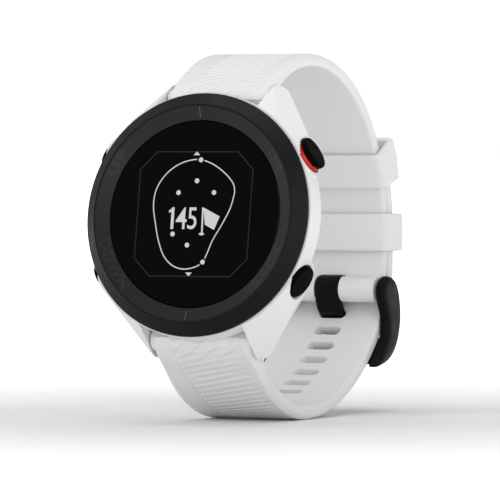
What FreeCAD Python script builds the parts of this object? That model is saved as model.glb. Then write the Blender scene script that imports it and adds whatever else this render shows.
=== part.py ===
"""Golf GPS watch with a buckled silicone band, in millimetres.

Watch frame: origin at the centre of the lens's front face, +X to 3 o'clock, +Y back into the case and
+Z to 12 o'clock.  Standing frame: the watch frame leaned back by LEAN about X, as the watch stands on
its band; the band, the buckle and the keepers are drawn in it.  Row frame: the standing frame moved so
that the band's lowest line is at Z = 0 and the footprint's centre is at X = Y = 0.
"""
import FreeCAD
import Part

import math
import os

from FreeCAD import Vector

AXIS_X = Vector(1, 0, 0)
AXIS_Y = Vector(0, 1, 0)
AXIS_Z = Vector(0, 0, 1)
ORIGIN = Vector(0, 0, 0)

# ---- driving dimensions: head ----
LEAN = 9.0                # backward lean of the head, degrees
CASE_R = 22.0             # case side wall
CAVITY_R = 20.3           # inside of the case
CASE_FRONT_Y = 1.5        # rim that the bezel sits on
SIDE_END_Y = 5.8          # where the side wall starts to taper
CASE_BACK_Y = 10.1
BACK_EDGE_R = 19.6
BACK_OPENING_R = 18.7
LEDGE_R = 15.8            # inner edge of the ledge under the rear cover
LEDGE_Y = 8.9
BEZEL_R = 21.75
RIDGE_R = 19.3            # highest line of the bezel
RIDGE_Y = -1.0
LENS_R = 16.7
LENS_T = 1.05
BEZEL_LEDGE_R = 15.7
GASKET_T = 0.25
LUG_GAP = 20.3            # width between a pair of lugs
POCKET_R = 2.4            # hollow in the case for the strap's bead
POCKET_Y = 5.0            # the front wall stays whole ahead of this
FLAT_Z = 17.9             # inside face of the thick wall between the lugs
BAR_Y = 7.4               # spring bar axis in the watch frame
BAR_Z = 21.6

# ---- driving dimensions: inside ----
DISPLAY_HALF = 11.35
DISPLAY_CORNER = 3.2
DISPLAY_Y = (1.2, 2.6)
CHASSIS_R = 18.2
CHASSIS_Y = (2.65, 3.3)
BATTERY = (22.0, 2.3, 17.0)
BOARD_R = 16.6
BOARD_Y = (5.9, 6.7)
POST_RHO = 15.4
COVER_SCREW_RHO = 17.0
SCREW_ANGLES = (45, 135, 225, 315)

# ---- driving dimensions: buttons ----
BUTTON_Y = 4.9
BUTTON_R = 3.0
BUTTON_FACE = 22.85       # distance of the cap's face from the watch axis
OK_FACE = 23.75
BUTTON_TRAVEL = 0.6
BOSS_R = 3.9
RECESS_FLOOR = 21.0
STEM_R = 0.9
STEM_END = 17.6
GUIDE_R = 1.9
GUIDE_END = 18.4
BUTTON_ANGLES = {"ok_button": 30.0, "back_button": -30.0, "up_button": 150.0, "down_button": 210.0}

# ---- driving dimensions: band, in the standing frame, as (y, z) ----
STRAP_T = 2.3
STRAP_HALF = 9.9
SHOULDER = 0.9
LUG_END_R = 2.15
ROLL_R = 2.4
UPPER_START = (10.47, 19.06)
UPPER_HEADING = 46.8
CROWN_R = 30.0            # large arc of the upper strap, which the free keeper slides round
UPPER_RUNS = [("arc", 22.7, -35.3), ("arc", CROWN_R, -101.5), ("line", 2.4), ("arc", 25.0, -12.0),
              ("line", 3.3)]
LOWER_START = (5.05, -21.31)
LOWER_HEADING = -63.9
TAIL_GAP = 0.37           # between the upper strap's outer face and the tail
TAIL_ARC_R = CROWN_R + STRAP_T + TAIL_GAP
LOWER_RUNS = [("arc", 24.6, 70.2), ("arc", 40.5, 48.8), ("arc", 13.0, 34.9), ("line", 6.8),
              ("arc", TAIL_ARC_R, 27.0)]
SLOT_SIZE = (5.3, 2.0)
SLOT_PITCH = 3.97
PRONG_SLOT_AT = 62.85     # distance along the lower strap of the slot in use
SLOTS_EACH_SIDE = 6
KEEPER_WALL = 1.25
KEEPER_GAP = 0.25
KEEPER_LENGTH = 7.0
LOWER_KEEPER_Z = -4.1
FREE_KEEPER_ANGLE = 21.9  # above the crown arc's centre
FREE_KEEPER_SPAN = 12.8

# ---- driving dimensions: buckle, in the standing frame ----
BUCKLE_BAR_R = 0.75
ARM_IN = 10.15
ARM_OUT = 12.0
PRONG_HALF = 2.35

# ---- row frame ----
SHIFT_Y = -30.47
SHIFT_Z = 37.385


# ---------------------------------------------------------------- basic shapes
def stand(shape):
    """Watch frame to row frame."""
    placed = shape.copy()
    placed.rotate(ORIGIN, AXIS_X, -LEAN)
    placed.translate(Vector(0, SHIFT_Y, SHIFT_Z))
    return placed


def shift(shape):
    """Standing frame to row frame."""
    placed = shape.copy()
    placed.translate(Vector(0, SHIFT_Y, SHIFT_Z))
    return placed


def lean_point(y, z):
    """A watch-frame (y, z) in the standing frame."""
    lean = math.radians(LEAN)
    return (y * math.cos(lean) + z * math.sin(lean), z * math.cos(lean) - y * math.sin(lean))


def turned(profile):
    """Solid of revolution about the watch axis from (radius, y) points."""
    points = [Vector(r, y, 0) for r, y in profile]
    points.append(points[0])
    face = Part.Face(Part.makePolygon(points))
    return face.revolve(ORIGIN, AXIS_Y, 360)


def disc(radius, y0, y1, x=0.0, z=0.0):
    return Part.makeCylinder(radius, y1 - y0, Vector(x, y0, z), AXIS_Y)


def ring(inner, outer, y0, y1):
    return disc(outer, y0, y1).cut(disc(inner, y0 - 1, y1 + 1))


def rod(radius, x0, x1, y=0.0, z=0.0):
    return Part.makeCylinder(radius, x1 - x0, Vector(x0, y, z), AXIS_X)


def block(x, y, z):
    """Box from three (low, high) pairs."""
    return Part.makeBox(x[1] - x[0], y[1] - y[0], z[1] - z[0], Vector(x[0], y[0], z[0]))


def rounded_block(x, y, z, radius):
    """Box whose four edges along Y are rounded."""
    solid = block(x, y, z)
    edges = [e for e in solid.Edges if abs(e.tangentAt(e.FirstParameter).y) > 0.99]
    return solid.makeFillet(radius, edges)


def polygon_plate(points, y0, y1):
    """Plate from (x, z) points, y0 to y1."""
    corners = [Vector(x, y0, z) for x, z in points]
    corners.append(corners[0])
    return Part.Face(Part.makePolygon(corners)).extrude(Vector(0, y1 - y0, 0))


def side_plate(points, x0, x1):
    """Plate from (y, z) points, x0 to x1."""
    corners = [Vector(x0, y, z) for y, z in points]
    corners.append(corners[0])
    return Part.Face(Part.makePolygon(corners)).extrude(Vector(x1 - x0, 0, 0))


def cut_off(shape, point, normal):
    """Remove what lies beyond the plane through point, on the side normal points to."""
    size = 80.0
    tool = Part.makeBox(size, size, size, Vector(-size / 2, -size / 2, 0))
    tool.Placement = FreeCAD.Placement(point, FreeCAD.Rotation(AXIS_Z, normal))
    return shape.cut(tool)


def around_axis(shape, angle):
    """Turn from 3 o'clock to the given angle, counter-clockwise seen from the front."""
    placed = shape.copy()
    placed.rotate(ORIGIN, AXIS_Y, -angle)
    return placed


def group(shapes):
    return Part.makeCompound(shapes)


def save(name, shape):
    shape.exportStep("parts/" + name + ".step")
    print(name, len(shape.Solids), "solids", round(shape.Volume, 2), "mm3", "valid", shape.isValid())


# ---------------------------------------------------------------- case, bezel and lens
def lug():
    """The upper right lug: narrow front facet, broad outer facet that meets it at a ridge, and cut tip."""
    inner = LUG_GAP / 2
    outline = [(inner, 14.0), (inner, 24.6), (13.3, 23.5), (18.0, 15.9), (19.2, 11.0), (15.0, 11.0)]
    solid = polygon_plate(outline, CASE_FRONT_Y, 10.4)
    top = Vector(inner, 7.5, 24.1)
    solid = cut_off(solid, top, Vector(0.41, -0.55, 0.73))
    solid = cut_off(solid, top, Vector(0.67, -0.33, 0.67))
    solid = cut_off(solid, Vector(12.4, 9.0, 23.7), Vector(0.80, 0.36, 0.43))
    solid = cut_off(solid, Vector(inner, 10.3, 23.6), Vector(0, 0.8, 0.6))
    return solid


def all_lugs():
    right_top = lug()
    left_top = right_top.mirror(ORIGIN, AXIS_X)
    return [right_top, left_top, right_top.mirror(ORIGIN, AXIS_Z), left_top.mirror(ORIGIN, AXIS_Z)]


def lug_bridges():
    """Thick straight walls between each pair of lugs, which keep the cavity closed behind the pockets."""
    wall = turned([(0, 4.0), (CASE_R, 4.0), (CASE_R, SIDE_END_Y), (BACK_EDGE_R + 0.6, LEDGE_Y),
                   (0, LEDGE_Y)])
    bridges = []
    for low, high in ((FLAT_Z, 25.0), (-25.0, -FLAT_Z)):
        bridges.append(wall.common(block((-11.5, 11.5), (3.9, LEDGE_Y), (low, high))))
    return bridges


def bead_pocket(z):
    """Room between two lugs for a strap's bead and for the strap that leaves it."""
    half = LUG_GAP / 2
    pocket = rod(POCKET_R, -half, half, BAR_Y, z)
    low, high = (z - 1.3, z + 6) if z > 0 else (z - 6, z + 1.3)
    return pocket.fuse(block((-half, half), (POCKET_Y, 13), (low, high)))


def cavity():
    """Everything inside the case wall, from the bezel's seat to the rear opening."""
    return turned([(0, 0), (CAVITY_R, 0), (CAVITY_R, 6.0), (BACK_OPENING_R - 0.1, LEDGE_Y - 0.9),
                   (LEDGE_R, LEDGE_Y - 0.9), (LEDGE_R, LEDGE_Y), (BACK_OPENING_R, LEDGE_Y),
                   (BACK_OPENING_R, 14), (0, 14)])


def screw_bosses():
    return [around_axis(disc(1.5, 7.0, LEDGE_Y, COVER_SCREW_RHO), angle) for angle in SCREW_ANGLES]


def case_body():
    profile = [(CAVITY_R, CASE_FRONT_Y), (CASE_R, CASE_FRONT_Y), (CASE_R, SIDE_END_Y),
               (BACK_EDGE_R, CASE_BACK_Y), (BACK_OPENING_R, CASE_BACK_Y), (BACK_OPENING_R, LEDGE_Y),
               (LEDGE_R, LEDGE_Y), (LEDGE_R, LEDGE_Y - 0.9), (BACK_OPENING_R - 0.1, LEDGE_Y - 0.9),
               (CAVITY_R, 6.0)]
    body = turned(profile).fuse(all_lugs())
    bosses = []
    for angle in BUTTON_ANGLES.values():
        bosses.append(around_axis(rod(BOSS_R, CAVITY_R - 0.3, CASE_R, BUTTON_Y), angle))
    body = body.fuse(bosses).cut(cavity())
    body = body.fuse(lug_bridges() + screw_bosses())
    body = body.cut(disc(30, -2, CASE_FRONT_Y))
    body = body.cut(ring(17.9, 18.5, LEDGE_Y - 0.3, LEDGE_Y))
    cutters = []
    for angle in BUTTON_ANGLES.values():
        recess = rod(BUTTON_R + 0.25, RECESS_FLOOR, 30, BUTTON_Y)
        bore = rod(GUIDE_R, 15, 30, BUTTON_Y)
        cutters.append(around_axis(recess.fuse(bore), angle))
    for angle in SCREW_ANGLES:
        cutters.append(around_axis(disc(0.6, 7.4, LEDGE_Y + 1, COVER_SCREW_RHO), angle))
    for z in (-BAR_Z, BAR_Z):
        cutters.append(rod(0.5, -11.6, 11.6, BAR_Y, z))
        cutters.append(bead_pocket(z))
    for cutter in cutters:
        body = body.cut(cutter)
    return body.removeSplitter()


def bezel():
    skirt = CAVITY_R - 0.1
    profile = [(LENS_R + 0.1, 0.0), (RIDGE_R - 0.25, RIDGE_Y + 0.04), (RIDGE_R + 0.25, RIDGE_Y + 0.04),
               (BEZEL_R, 0.85), (BEZEL_R, CASE_FRONT_Y - GASKET_T), (skirt, CASE_FRONT_Y - GASKET_T),
               (skirt, 3.0), (skirt - 0.9, 3.0), (skirt - 0.9, 2.0), (BEZEL_LEDGE_R, 2.0),
               (BEZEL_LEDGE_R, LENS_T + GASKET_T), (LENS_R + 0.1, LENS_T + GASKET_T)]
    return turned(profile)


def lens():
    solid = disc(LENS_R, 0, LENS_T)
    front = [e for e in solid.Edges if abs(e.CenterOfMass.y) < 0.01 and e.Length > 10]
    return solid.makeChamfer(0.15, front[:1])


def rear_cover():
    cover = disc(BACK_OPENING_R - 0.1, LEDGE_Y + 0.05, CASE_BACK_Y)
    cover = cover.fuse(disc(15.0, CASE_BACK_Y, CASE_BACK_Y + 0.5))
    cover = cover.cut(rounded_block((-5.5, 5.5), (CASE_BACK_Y - 0.5, 12), (-9.5, -5.5), 1.9))
    for x in contact_places():
        cover = cover.cut(disc(0.6, 8, 12, x, -7.5))
    for angle in SCREW_ANGLES:
        hole = disc(0.7, 8, 12, COVER_SCREW_RHO).fuse(disc(1.15, CASE_BACK_Y - 0.55, 12, COVER_SCREW_RHO))
        cover = cover.cut(around_axis(hole, angle))
    return cover


def contact_places():
    return [-3.75, -1.25, 1.25, 3.75]


def charging_contacts():
    pins = []
    for x in contact_places():
        pins.append(disc(0.6, 8.4, CASE_BACK_Y - 0.35, x, -7.5).fuse(disc(0.9, 8.4, 8.7, x, -7.5)))
    return group(pins)


def rear_cover_screws():
    screws = []
    for angle in SCREW_ANGLES:
        screw = disc(1.05, CASE_BACK_Y - 0.55, CASE_BACK_Y - 0.05, COVER_SCREW_RHO)
        screw = screw.fuse(disc(0.6, 7.5, CASE_BACK_Y - 0.5, COVER_SCREW_RHO))
        socket = disc(0.45, CASE_BACK_Y - 0.35, CASE_BACK_Y, COVER_SCREW_RHO)
        screws.append(around_axis(screw.cut(socket), angle))
    return group(screws)


# ---------------------------------------------------------------- inside the case
def display_module():
    half = DISPLAY_HALF
    cut = half - DISPLAY_CORNER
    outline = [(-cut, half), (cut, half), (half, cut), (half, -cut), (cut, -half), (-cut, -half),
               (-half, -cut), (-half, cut)]
    return polygon_plate(outline, *DISPLAY_Y)


def post_places():
    return [90, 180, 270, 360]


def display_frame():
    plate = disc(CHASSIS_R, *CHASSIS_Y)
    for angle in post_places():
        post = disc(1.1, CHASSIS_Y[1], BOARD_Y[0], POST_RHO)
        plate = plate.fuse(around_axis(post, angle))
    for angle in post_places():
        plate = plate.cut(around_axis(disc(0.5, 4.0, 6.0, POST_RHO), angle))
    return plate.cut(block((-3.8, 3.8), (2, 3.5), (-12.8, -12.0)))


def display_flex():
    """Flat cable from the display's lower edge through the frame's slot to the board."""
    tail = block((-3.5, 3.5), (2.0, BOARD_Y[0]), (-12.5, -12.3))
    return tail.fuse(block((-3.5, 3.5), (2.0, 2.2), (-12.5, -DISPLAY_HALF)))


def gps_antenna():
    """Open ring that lies on the display frame under the bezel."""
    gap = block((-4, 4), (0, 5), (10, 25))
    return ring(16.3, 18.0, 2.05, CHASSIS_Y[0]).cut(gap)


def battery():
    x, y, z = BATTERY
    front = CHASSIS_Y[1] + 0.15
    return rounded_block((-x / 2, x / 2), (front, front + y), (-z / 2, z / 2), 2.0)


def battery_pad():
    return block((-9, 9), (CHASSIS_Y[1], CHASSIS_Y[1] + 0.15), (-7, 7))


def main_board():
    board = disc(BOARD_R, *BOARD_Y)
    for angle in post_places():
        board = board.cut(around_axis(disc(0.5, 5, 8, POST_RHO), angle))
    return board


def board_chips():
    rear = BOARD_Y[1]
    places = [((-6, 1), (-2, 5), 1.0), ((3, 8), (0, 5), 0.8), ((-10, -7.5), (-6, 6), 0.6),
              ((-3, 4), (-9.5, -5), 0.9), ((6, 9), (-8, -4), 0.7), ((-5, 5), (8, 11.5), 1.0)]
    return group([block(x, (rear, rear + height), z) for x, z, height in places])


def board_screws():
    screws = []
    for angle in post_places():
        screw = disc(0.9, BOARD_Y[1], BOARD_Y[1] + 0.5, POST_RHO)
        screws.append(around_axis(screw.fuse(disc(0.5, 4.3, BOARD_Y[1] + 0.1, POST_RHO)), angle))
    return group(screws)


def side_switches():
    """Tactile switches on the board's front face, one facing each button stem."""
    switches = []
    for angle in BUTTON_ANGLES.values():
        switch = block((14.6, 16.3), (BOARD_Y[0] - 2.0, BOARD_Y[0]), (-1.8, 1.8))
        switches.append(around_axis(switch.fuse(rod(0.6, 16.3, STEM_END - BUTTON_TRAVEL, BUTTON_Y)), angle))
    return group(switches)


# ---------------------------------------------------------------- buttons
def clip_groove():
    return rod(2.0, 18.0, 18.36, BUTTON_Y).cut(rod(0.65, 17, 19, BUTTON_Y))


def button(name):
    """Cap and stem in one piece, pointing to 3 o'clock before it is turned to its place."""
    if name == "ok_button":
        cap = rod(BUTTON_R, OK_FACE - 0.8, OK_FACE, BUTTON_Y)
        cap = cap.fuse(rod(2.4, 22.6, OK_FACE - 0.7, BUTTON_Y))
        stem_top = OK_FACE - 0.5
    else:
        cap = rod(BUTTON_R, BUTTON_FACE - 1.1, BUTTON_FACE, BUTTON_Y)
        cap = cap.cut(rod(2.3, 20, 22.4, BUTTON_Y))
        stem_top = BUTTON_FACE - 0.3
    rim = [e for e in cap.Edges if abs(e.BoundBox.XMin - cap.BoundBox.XMax) < 0.01]
    cap = cap.makeFillet(0.3, rim)
    stem = rod(STEM_R, STEM_END, stem_top, BUTTON_Y)
    return around_axis(cap.fuse(stem).cut(clip_groove()), BUTTON_ANGLES[name])


def ok_button_ring():
    """Red collar under the ok cap, which travels with it."""
    collar = rod(BUTTON_R - 0.05, 21.8, 22.6, BUTTON_Y)
    collar = collar.cut(rod(STEM_R, 20, 24, BUTTON_Y)).cut(rod(2.3, 20, 22.4, BUTTON_Y))
    return around_axis(collar, BUTTON_ANGLES["ok_button"])


def stem_clip(name):
    """Open retaining clip in the stem's groove, behind the guide."""
    clip = rod(1.6, 18.02, 18.34, BUTTON_Y).cut(rod(0.65, 17, 19, BUTTON_Y))
    clip = clip.cut(block((17, 19), (BUTTON_Y, BUTTON_Y + 3), (-0.6, 0.6)))
    return around_axis(clip, BUTTON_ANGLES[name])


def button_guides():
    guides = []
    for angle in BUTTON_ANGLES.values():
        guide = rod(GUIDE_R, GUIDE_END, RECESS_FLOOR, BUTTON_Y)
        guide = guide.cut(rod(STEM_R + 0.05, 15, 24, BUTTON_Y))
        guide = guide.cut(rod(1.5, 20.2, 24, BUTTON_Y))
        guides.append(around_axis(guide, angle))
    return group(guides)


def button_seals():
    seals = []
    for angle in BUTTON_ANGLES.values():
        seal = Part.makeTorus(1.21, 0.27, Vector(20.55, BUTTON_Y, 0), AXIS_X)
        seals.append(around_axis(seal, angle))
    return group(seals)


def coil(radius, half_wire, length, turns):
    """Helical spring of square wire along +Z from the origin."""
    rise = length - 2 * half_wire
    spine = Part.makeLongHelix(rise / turns, rise, radius)
    corners = [Vector(radius + x * half_wire, 0, z * half_wire)
               for x, z in ((-1, -1), (1, -1), (1, 1), (-1, 1), (-1, -1))]
    sweep = Part.BRepOffsetAPI.MakePipeShell(Part.Wire(spine.Edges))
    sweep.setFrenetMode(True)
    sweep.add(Part.makePolygon(corners))
    sweep.build()
    sweep.makeSolid()
    spring = sweep.shape()
    spring.translate(Vector(0, 0, half_wire))
    return spring


def button_springs():
    springs = []
    for angle in BUTTON_ANGLES.values():
        spring = coil(1.85, 0.15, 1.38, 3)
        spring.rotate(ORIGIN, AXIS_Y, 90)
        spring.translate(Vector(RECESS_FLOOR + 0.01, BUTTON_Y, 0))
        springs.append(around_axis(spring, angle))
    return group(springs)


# ---------------------------------------------------------------- ribbons for the band
def walk(start, heading, runs):
    """Stations along a path: each is (point, heading) at the ends and middle of every run."""
    y, z = start
    angle = math.radians(heading)
    stations = []
    for run in runs:
        if run[0] == "line":
            length = run[1]
            ends = [(y + length * f * math.cos(angle), z + length * f * math.sin(angle), angle)
                    for f in (0, 0.5, 1)]
        else:
            radius = run[1]
            turn = math.radians(run[2])
            side = math.copysign(1, turn)
            centre_y = y - side * radius * math.sin(angle)
            centre_z = z + side * radius * math.cos(angle)
            ends = []
            for f in (0, 0.5, 1):
                a = angle + turn * f
                ends.append((centre_y + side * radius * math.sin(a),
                             centre_z - side * radius * math.cos(a), a))
        stations.append((run[0], ends))
        y, z, angle = ends[2]
    return stations


def beside(station, distance, side):
    """Point at a distance from a station, to the left of travel for side 1 or right for -1."""
    y, z, angle = station
    return Vector(0, y - side * distance * math.sin(angle), z + side * distance * math.cos(angle))


def run_edge(kind, ends, distance, side):
    points = [beside(station, distance, side) for station in ends]
    if kind == "line":
        return Part.LineSegment(points[0], points[2]).toShape()
    return Part.Arc(*points).toShape()


def ribbon(start, heading, runs, near, far, side, half):
    """Solid strip of a path, from near to far beside it and half to each side in X."""
    stations = walk(start, heading, runs)
    inner = [run_edge(kind, ends, near, side) for kind, ends in stations]
    outer = [run_edge(kind, ends, far, side) for kind, ends in stations]
    first = stations[0][1][0]
    last = stations[-1][1][2]
    caps = [Part.LineSegment(beside(first, near, side), beside(first, far, side)).toShape(),
            Part.LineSegment(beside(last, near, side), beside(last, far, side)).toShape()]
    wire = Part.Wire(Part.__sortEdges__(inner + outer + caps))
    face = Part.Face(wire)
    face.translate(Vector(-half, 0, 0))
    return face.extrude(Vector(2 * half, 0, 0))


def on_path(start, heading, runs, distance):
    """(y, z, angle) at a distance along a path."""
    y, z = start
    angle = math.radians(heading)
    left = distance
    for run in runs:
        length = run[1] if run[0] == "line" else run[1] * math.radians(abs(run[2]))
        part = min(left, length)
        if run[0] == "line":
            y += part * math.cos(angle)
            z += part * math.sin(angle)
        else:
            side = math.copysign(1, run[2])
            turn = side * part / run[1]
            y += side * run[1] * (math.sin(angle + turn) - math.sin(angle))
            z -= side * run[1] * (math.cos(angle + turn) - math.cos(angle))
            angle += turn
        left -= part
        if left <= 0:
            break
    return y, z, angle


def shoulder_edges(solid, start, heading, runs, side):
    """Long edges of a ribbon's outer face, at both of its sides."""
    wanted = []
    stations = walk(start, heading, runs)
    for kind, ends in stations:
        middle = beside(ends[1], STRAP_T, side)
        for edge in solid.Edges:
            for x in (-STRAP_HALF, STRAP_HALF):
                target = Vector(x, middle.y, middle.z)
                if edge.distToShape(Part.Vertex(target))[0] < 0.01 and edge.Length > 1:
                    if abs(edge.BoundBox.XLength) < 0.01:
                        wanted.append(edge)
    return wanted


def strap_band(start, heading, runs, side):
    solid = ribbon(start, heading, runs, 0, STRAP_T, side, STRAP_HALF)
    edges = shoulder_edges(solid, start, heading, runs, side)
    return solid.makeChamfer(SHOULDER, edges)


def slot_cutter(distance):
    y, z, angle = on_path(LOWER_START, LOWER_HEADING, LOWER_RUNS, distance)
    width, height = SLOT_SIZE
    straight = width - height
    tool = block((-straight / 2, straight / 2), (-height / 2, height / 2), (-8, 8))
    for x in (-straight / 2, straight / 2):
        tool = tool.fuse(Part.makeCylinder(height / 2, 16, Vector(x, 0, -8), AXIS_Z))
    tool.rotate(ORIGIN, AXIS_X, math.degrees(angle))
    tool.translate(Vector(0, y, z))
    return tool


def lug_end(strap, bar, inward):
    """Add the bead round the spring bar, its bore, and the notch for the release knob."""
    y, z = bar
    strap = strap.fuse(rod(LUG_END_R, -STRAP_HALF, STRAP_HALF, y, z))
    strap = strap.cut(rod(0.8, -12, 12, y, z))
    notch = block((4.2, 7.6), (0, 6), (-0.9, 0.9))
    notch.rotate(ORIGIN, AXIS_X, inward)
    notch.translate(Vector(0, y, z))
    return strap.cut(notch)


def upper_end():
    y, z, angle = on_path(UPPER_START, UPPER_HEADING, UPPER_RUNS, 1000)
    middle = beside((y, z, angle), STRAP_T / 2, 1)
    return middle.y - 1.55, middle.z


def strap_upper():
    strap = strap_band(UPPER_START, UPPER_HEADING, UPPER_RUNS, 1)
    y, z = upper_end()
    strap = strap.fuse(rod(ROLL_R, -STRAP_HALF + 0.3, STRAP_HALF - 0.3, y, z))
    strap = strap.cut(rod(BUCKLE_BAR_R + 0.03, -12, 12, y, z))
    notch = rod(2.85, -PRONG_HALF - 0.2, PRONG_HALF + 0.2, y, z)
    strap = strap.cut(notch)
    return lug_end(strap, lean_point(BAR_Y, BAR_Z), UPPER_HEADING - 90)


def strap_lower():
    strap = strap_band(LOWER_START, LOWER_HEADING, LOWER_RUNS, -1)
    for step in range(-SLOTS_EACH_SIDE, SLOTS_EACH_SIDE + 1):
        strap = strap.cut(slot_cutter(PRONG_SLOT_AT + step * SLOT_PITCH))
    return lug_end(strap, lean_point(BAR_Y, -BAR_Z), LOWER_HEADING + 90)


def crown_centre():
    stations = walk(UPPER_START, UPPER_HEADING, UPPER_RUNS[:2])
    y, z, angle = stations[1][1][2]
    return y - CROWN_R * math.sin(-angle), z - CROWN_R * math.cos(angle)


def keeper_lower():
    face = walk(UPPER_START, UPPER_HEADING, UPPER_RUNS[:2])[1][1][2][0]
    y0 = face - KEEPER_GAP
    y1 = face + 2 * STRAP_T + TAIL_GAP + KEEPER_GAP
    z = (LOWER_KEEPER_Z - KEEPER_LENGTH / 2, LOWER_KEEPER_Z + KEEPER_LENGTH / 2)
    half = STRAP_HALF + KEEPER_GAP
    outer = block((-half - KEEPER_WALL, half + KEEPER_WALL), (y0 - KEEPER_WALL, y1 + KEEPER_WALL), z)
    edges = [e for e in outer.Edges if abs(e.tangentAt(e.FirstParameter).z) > 0.99]
    outer = outer.makeFillet(1.2, edges)
    return outer.cut(block((-half, half), (y0, y1), (z[0] - 1, z[1] + 1)))


def sector(inner, outer, half, start, span):
    """Ring sector about the crown arc's axis, half to each side in X."""
    centre_y, centre_z = crown_centre()
    corners = [Vector(x, r, 0) for x, r in ((-half, inner), (half, inner), (half, outer), (-half, outer))]
    corners.append(corners[0])
    solid = Part.Face(Part.makePolygon(corners)).revolve(ORIGIN, AXIS_X, span)
    solid.rotate(ORIGIN, AXIS_X, start)
    solid.translate(Vector(0, centre_y, centre_z))
    return solid


def keeper_upper():
    half = STRAP_HALF + KEEPER_GAP
    inner = CROWN_R - KEEPER_GAP
    outer = TAIL_ARC_R + STRAP_T + KEEPER_GAP
    start = FREE_KEEPER_ANGLE - FREE_KEEPER_SPAN / 2
    loop = sector(inner - KEEPER_WALL, outer + KEEPER_WALL, half + KEEPER_WALL, start, FREE_KEEPER_SPAN)
    edges = []
    for edge in loop.Edges:
        middle = edge.valueAt((edge.FirstParameter + edge.LastParameter) / 2)
        on_side = abs(abs(middle.x) - half - KEEPER_WALL) < 0.01
        if on_side and edge.BoundBox.XLength < 0.01 and edge.Curve.TypeId == "Part::GeomCircle":
            edges.append(edge)
    loop = loop.makeFillet(1.2, edges)
    return loop.cut(sector(inner, outer, half, start - 2, FREE_KEEPER_SPAN + 4))


# ---------------------------------------------------------------- spring bars
def spring_bar(name, z_sign, inward):
    """Quick-release bar as four pieces: tube, fixed pin, release pin with its knob, and spring."""
    y, z = lean_point(BAR_Y, z_sign * BAR_Z)
    tube = rod(0.75, -9.3, 9.3, y, z).cut(rod(0.5, -12, 12, y, z))
    window = block((4.6, 7.2), (0, 2), (-0.42, 0.42))
    window.rotate(ORIGIN, AXIS_X, inward)
    window.translate(Vector(0, y, z))
    tube = tube.cut(window)
    fixed_pin = rod(0.47, -11.2, -7.5, y, z)
    release_pin = rod(0.47, 5.6, 11.2, y, z)
    knob = Part.makeCylinder(0.36, 2.5, Vector(6.5, 0, 0), AXIS_Y)
    knob = knob.fuse(Part.makeCylinder(0.7, 0.6, Vector(6.5, 2.1, 0), AXIS_Y))
    knob.rotate(ORIGIN, AXIS_X, inward)
    knob.translate(Vector(0, y, z))
    release_pin = release_pin.fuse(knob)
    spring = coil(0.33, 0.09, 12.9, 14)
    spring.rotate(ORIGIN, AXIS_Y, 90)
    spring.translate(Vector(-7.4, y, z))
    return {name + "_tube": tube, name + "_fixed_pin": fixed_pin, name + "_release_pin": release_pin,
            name + "_spring": spring}


# ---------------------------------------------------------------- buckle
def smooth_side(points, x0, x1):
    """Plate whose outline is a closed smooth curve through (y, z) points."""
    curve = Part.BSplineCurve()
    curve.interpolate([Vector(x0, y, z) for y, z in points], PeriodicFlag=True)
    return Part.Face(Part.Wire(curve.toShape())).extrude(Vector(x1 - x0, 0, 0))


def buckle_frame():
    y, z = upper_end()
    outline = [(57.5, -12.2), (60.1, -13.0), (61.8, -15.2), (62.6, -19.0), (62.1, -22.5), (60.5, -25.5),
               (57.8, -27.6), (54.5, -28.6), (51.4, -28.8), (52.9, -27.0), (55.4, -24.6), (56.7, -22.2),
               (56.3, -19.6), (54.9, -17.2), (54.2, -14.6), (55.4, -12.9)]
    frame = smooth_side(outline, ARM_IN, ARM_OUT)
    frame = frame.fuse(smooth_side(outline, -ARM_OUT, -ARM_IN))
    bar = [(57.4, -24.2), (59.2, -23.7), (60.6, -24.7), (57.6, -27.2), (54.4, -28.2), (52.8, -28.3)]
    notch = block((-PRONG_HALF - 0.1, PRONG_HALF + 0.1), (58.35, 62), (-28, -23))
    frame = frame.fuse(side_plate(bar, -ARM_IN - 0.1, ARM_IN + 0.1).cut(notch))
    return frame.cut(rod(BUCKLE_BAR_R, -11.4, 11.4, y, z))


def buckle_bar():
    y, z = upper_end()
    return rod(BUCKLE_BAR_R, -11.4, 11.4, y, z)


def buckle_prong():
    y, z = upper_end()
    eye = rod(2.6, -PRONG_HALF, PRONG_HALF, y, z).cut(block((-5, 5), (y + 0.3, y + 9), (z - 9, z + 9)))
    eye = eye.fuse(rod(1.65, -PRONG_HALF, PRONG_HALF, y, z))
    blade = [(y - 2.45, z - 0.4), (y - 2.4, z - 1.6), (55.4, -18.5), (56.83, -19.58), (58.95, -21.03),
             (59.0, -22.2), (58.65, -25.0), (60.05, -25.1), (60.45, -22.2), (59.95, -20.5), (58.1, -19.0),
             (57.1, -17.6), (y + 0.2, z - 1.4)]
    prong = eye.fuse(side_plate(blade, -PRONG_HALF, PRONG_HALF))
    return prong.cut(rod(BUCKLE_BAR_R + 0.03, -5, 5, y, z))


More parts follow.
